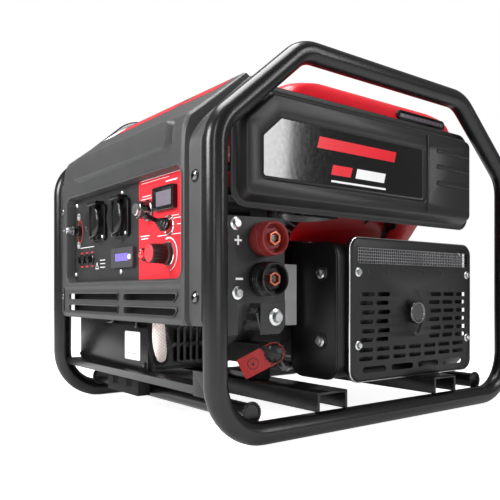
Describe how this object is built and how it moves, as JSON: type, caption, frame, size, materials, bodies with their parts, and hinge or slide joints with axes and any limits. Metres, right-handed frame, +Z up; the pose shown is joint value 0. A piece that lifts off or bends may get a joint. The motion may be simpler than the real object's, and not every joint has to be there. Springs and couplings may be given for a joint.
{
  "type": "engine driven welder",
  "caption": "Tube-framed petrol generator for arc welding, with control panel, welding terminals, fuel tank, muffler and recoil starter.",
  "frame": {"origin": "middle of the footprint on the ground", "axes": "+Z up, +X along the machine from the control panel to the recoil starter, -Y towards the welding terminals and muffler"},
  "size_m": [0.723, 0.557, 0.56],
  "materials": {
    "frame_paint": "semi-gloss black powder coat",
    "cover_grey": "dark grey satin moulding",
    "plate_grey": "fine textured grey paint",
    "black_plastic": "smooth black moulding",
    "red_paint": "gloss red enamel",
    "red_plastic": "red moulding",
    "zinc": "zinc plated",
    "chrome": "polished",
    "copper": "bare copper",
    "alloy": "die cast",
    "iron": "laminations, dark varnish",
    "rubber": "matt",
    "lens": "clear window over a display",
    "sleeve": "braided glass sleeve",
    "steel": "plain steel",
    "heat_black": "matt heat resistant black"
  },
  "bodies": {
    "machine": {"frame_loop_right": "frame_paint", "frame_loop_left": "frame_paint", "cross_tube_front": "frame_paint", "cross_tube_rear": "frame_paint", "front_rail": "frame_paint", "mount_rail_front": "frame_paint", "mount_rail_rear": "frame_paint", "rubber_mount_1": "rubber", "rubber_mount_2": "rubber", "rubber_mount_3": "rubber", "rubber_mount_4": "rubber", "tank_cradle": "frame_paint", "side_cover_right": "cover_grey", "side_cover_left": "cover_grey", "panel_cover": "cover_grey", "control_plate": "plate_grey", "socket_1": "black_plastic", "socket_2": "black_plastic", "key_switch": "chrome", "display": "lens", "hour_meter": "plate_grey", "lamp": "red_plastic", "ground_stud": "black_plastic", "electrics_box": "frame_paint", "weld_choke": "iron", "wire_sleeve": "sleeve", "battery": "black_plastic", "terminal_plate": "plate_grey", "positive_terminal": "red_plastic", "negative_terminal": "black_plastic", "fuel_tank": "red_paint", "stator": "iron", "end_cover": "alloy", "crankcase": "alloy", "cylinder": "alloy", "cylinder_cowl": "red_paint", "fan_cover": "red_paint", "recoil_starter": "heat_black", "muffler": "heat_black", "heat_shield": "heat_black", "exhaust_pipe": "steel", "air_filter": "black_plastic", "carburettor": "alloy", "starter_motor": "heat_black"},
    "crankshaft": {"rotor": "steel", "flywheel": "iron"},
    "socket_lid_1": {"socket_lid_1": "black_plastic"},
    "socket_lid_2": {"socket_lid_2": "black_plastic"},
    "key_barrel": {"key_barrel": "chrome"},
    "mode_lever": {"mode_lever": "rubber"},
    "current_knob": {"current_knob": "black_plastic"},
    "breaker_button_1": {"breaker_button_1": "black_plastic"},
    "breaker_button_2": {"breaker_button_2": "black_plastic"},
    "breaker_button_3": {"breaker_button_3": "black_plastic"},
    "wing_nut": {"wing_nut": "zinc"},
    "fuel_cap": {"fuel_cap": "black_plastic"},
    "recoil_handle": {"recoil_handle": "black_plastic"},
    "choke_lever": {"choke_lever": "steel"},
    "oil_cap": {"oil_cap": "black_plastic"}
  },
  "joints": [
    {"name": "socket_lid_1_hinge", "type": "hinge", "parent": "machine", "child": "socket_lid_1", "pos_m": [-0.3305, 0.084, 0.358], "axis": [0, 1, 0], "range_deg": [0, 110], "stiffness_Nm_per_rad": 0.02, "springref_deg": -11.46},
    {"name": "socket_lid_2_hinge", "type": "hinge", "parent": "machine", "child": "socket_lid_2", "pos_m": [-0.3305, -0.002, 0.358], "axis": [0, 1, 0], "range_deg": [0, 110], "stiffness_Nm_per_rad": 0.02, "springref_deg": -11.46},
    {"name": "key_barrel_turn", "type": "hinge", "parent": "machine", "child": "key_barrel", "pos_m": [-0.3415, -0.088, 0.325], "axis": [-1, 0, 0], "range_deg": [0, 90]},
    {"name": "mode_lever_tilt", "type": "hinge", "parent": "machine", "child": "mode_lever", "pos_m": [-0.3275, -0.151, 0.298], "axis": [0, 1, 0], "range_deg": [-40, 0]},
    {"name": "current_knob_turn", "type": "hinge", "parent": "machine", "child": "current_knob", "pos_m": [-0.3195, -0.148, 0.258], "axis": [-1, 0, 0], "range_deg": [0, 270]},
    {"name": "breaker_button_1_push", "type": "slide", "parent": "machine", "child": "breaker_button_1", "axis": [-1, 0, 0], "range_m": [0, 0.004], "stiffness_N_per_m": 400},
    {"name": "breaker_button_2_push", "type": "slide", "parent": "machine", "child": "breaker_button_2", "axis": [-1, 0, 0], "range_m": [0, 0.004], "stiffness_N_per_m": 400},
    {"name": "breaker_button_3_push", "type": "slide", "parent": "machine", "child": "breaker_button_3", "axis": [-1, 0, 0], "range_m": [0, 0.004], "stiffness_N_per_m": 400},
    {"name": "wing_nut_turn", "type": "hinge", "parent": "machine", "child": "wing_nut", "pos_m": [-0.3395, 0.172, 0.315], "axis": [-1, 0, 0], "range_deg": [0, 360]},
    {"name": "fuel_cap_turn", "type": "hinge", "parent": "machine", "child": "fuel_cap", "pos_m": [0.0735, 0, 0.541], "axis": [0, 0, 1], "range_deg": [0, 90]},
    {"name": "crankshaft_spin", "type": "hinge", "parent": "machine", "child": "crankshaft", "pos_m": [0.0135, 0, 0.205], "axis": [1, 0, 0], "continuous": true},
    {"name": "recoil_handle_pull", "type": "slide", "parent": "machine", "child": "recoil_handle", "axis": [1, 0, 0], "range_m": [0, 0.7], "stiffness_N_per_m": 8, "springref_m": -0.02},
    {"name": "choke_lever_turn", "type": "hinge", "parent": "machine", "child": "choke_lever", "pos_m": [0.1025, 0.057, 0.366], "axis": [1, 0, 0], "range_deg": [-55, 0]},
    {"name": "oil_cap_turn", "type": "hinge", "parent": "machine", "child": "oil_cap", "pos_m": [-0.1165, -0.133, 0.105], "axis": [-0.6129, -0.7902, 0], "range_deg": [0, 270]}
  ]
}
